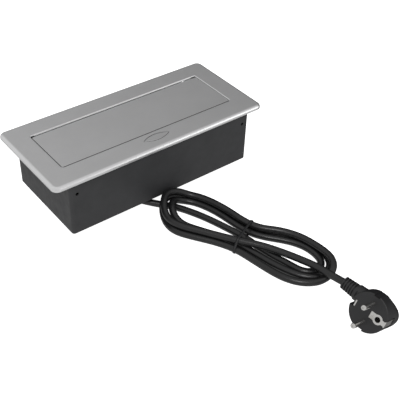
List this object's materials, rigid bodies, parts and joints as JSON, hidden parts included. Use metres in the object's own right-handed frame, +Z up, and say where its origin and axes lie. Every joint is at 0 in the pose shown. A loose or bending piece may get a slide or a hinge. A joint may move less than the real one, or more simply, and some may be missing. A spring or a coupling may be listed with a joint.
{
  "type": "flip-up desk socket",
  "caption": "Flush flip-up desk power socket: satin metal rim and lid with a push release, black steel box, sockets on a swing-up carrier, coiled mains lead with a right-angle plug.",
  "frame": {"origin": "centre of the rim in plan, on the surface the unit stands on", "axes": "+X along the long side, towards the right in the picture; +Y to the rear, the hinge side; +Z up"},
  "size_m": [0.245, 0.3623, 0.0749],
  "materials": {
    "satin_metal": "satin, fine grained, silver grey",
    "black_sheet": "matt black powder coat",
    "button_metal": "satin silver grey",
    "black_plastic": "matt black",
    "white_plastic": "matt white",
    "zinc_steel": "zinc plated",
    "spring_steel": "bright spring wire and strip",
    "brass": "stamped brass",
    "nickel": "nickel plated brass",
    "cord_black": "black PVC jacket, slight sheen",
    "rubber_black": "moulded black PVC",
    "tie_black": "black plastic covered wire tie",
    "wire_brown": "brown PVC insulation",
    "wire_blue": "blue PVC insulation",
    "wire_green_yellow": "green and yellow PVC insulation"
  },
  "bodies": {
    "box": {"bezel_frame": "satin_metal", "box_shell": "black_sheet", "base_cover": "black_plastic", "base_pan": "black_plastic", "base_screws": "zinc_steel", "bezel_screws": "zinc_steel", "hinge_pin_left": "spring_steel", "hinge_pin_right": "spring_steel", "button_guide": "black_plastic", "button_guide_screws": "zinc_steel", "button_spring": "spring_steel", "latch_spring": "spring_steel", "latch_screws": "zinc_steel", "lift_spring_left": "spring_steel", "lift_spring_right": "spring_steel", "damper_body": "white_plastic", "damper_bracket": "zinc_steel", "damper_screws": "zinc_steel", "terminal_block": "black_plastic", "terminal_screws": "zinc_steel", "inner_lead_live": "wire_brown", "inner_lead_neutral": "wire_blue", "inner_lead_earth": "wire_green_yellow", "lead_clamp": "black_plastic", "lead_clamp_screws": "zinc_steel", "lead_gland": "rubber_black", "lead_inner_end": "cord_black", "mains_lead": "cord_black", "lead_hank": "cord_black", "lead_tie": "tie_black", "lead_end": "cord_black", "plug_body": "rubber_black", "plug_pins": "nickel", "plug_earth_tube": "nickel", "plug_earth_clip": "nickel", "plug_strain_relief": "rubber_black"},
    "carrier": {"lid_plate": "satin_metal", "lid_nuts": "zinc_steel", "carrier_housing": "black_plastic", "carrier_cover": "black_plastic", "carrier_screws": "zinc_steel", "socket_left": "black_plastic", "socket_centre": "black_plastic", "socket_right": "black_plastic", "socket_base_left": "white_plastic", "socket_base_centre": "white_plastic", "socket_base_right": "white_plastic", "earth_pins": "nickel", "live_busbar": "brass", "neutral_busbar": "brass", "earth_busbar": "brass", "latch_keepers": "zinc_steel", "damper_sector": "white_plastic"},
    "release_button": {"release_button": "button_metal"},
    "damper_pinion": {"damper_pinion": "white_plastic"},
    "shutter_left": {"shutter_left": "white_plastic"},
    "shutter_centre": {"shutter_centre": "white_plastic"},
    "shutter_right": {"shutter_right": "white_plastic"}
  },
  "joints": [
    {"name": "lid_hinge", "type": "hinge", "parent": "box", "child": "carrier", "pos_m": [0, 0.028, 0.0701], "axis": [-1, 0, 0], "range_deg": [0, 52], "deforming": ["lift_spring_left", "lift_spring_right", "inner_lead_live", "inner_lead_neutral", "inner_lead_earth"]},
    {"name": "button_press", "type": "slide", "parent": "box", "child": "release_button", "axis": [0, 0, -1], "range_m": [0, 0.0025], "stiffness_N_per_m": 350, "springref_m": -0.0015, "deforming": ["button_spring", "latch_spring"]},
    {"name": "damper_spin", "type": "hinge", "parent": "box", "child": "damper_pinion", "pos_m": [0.09, 0.03754, 0.05484], "axis": [-1, 0, 0], "range_deg": [-183, 1]},
    {"name": "shutter_slide_left", "type": "slide", "parent": "carrier", "child": "shutter_left", "axis": [1, 0, 0], "range_m": [0, 0.006], "stiffness_N_per_m": 60, "springref_m": -0.003},
    {"name": "shutter_slide_centre", "type": "slide", "parent": "carrier", "child": "shutter_centre", "axis": [1, 0, 0], "range_m": [0, 0.006], "stiffness_N_per_m": 60, "springref_m": -0.003},
    {"name": "shutter_slide_right", "type": "slide", "parent": "carrier", "child": "shutter_right", "axis": [1, 0, 0], "range_m": [0, 0.006], "stiffness_N_per_m": 60, "springref_m": -0.003}
  ],
  "couplings": [
    {"joint": "damper_spin", "follows": "lid_hinge", "ratio": -3.5}
  ]
}
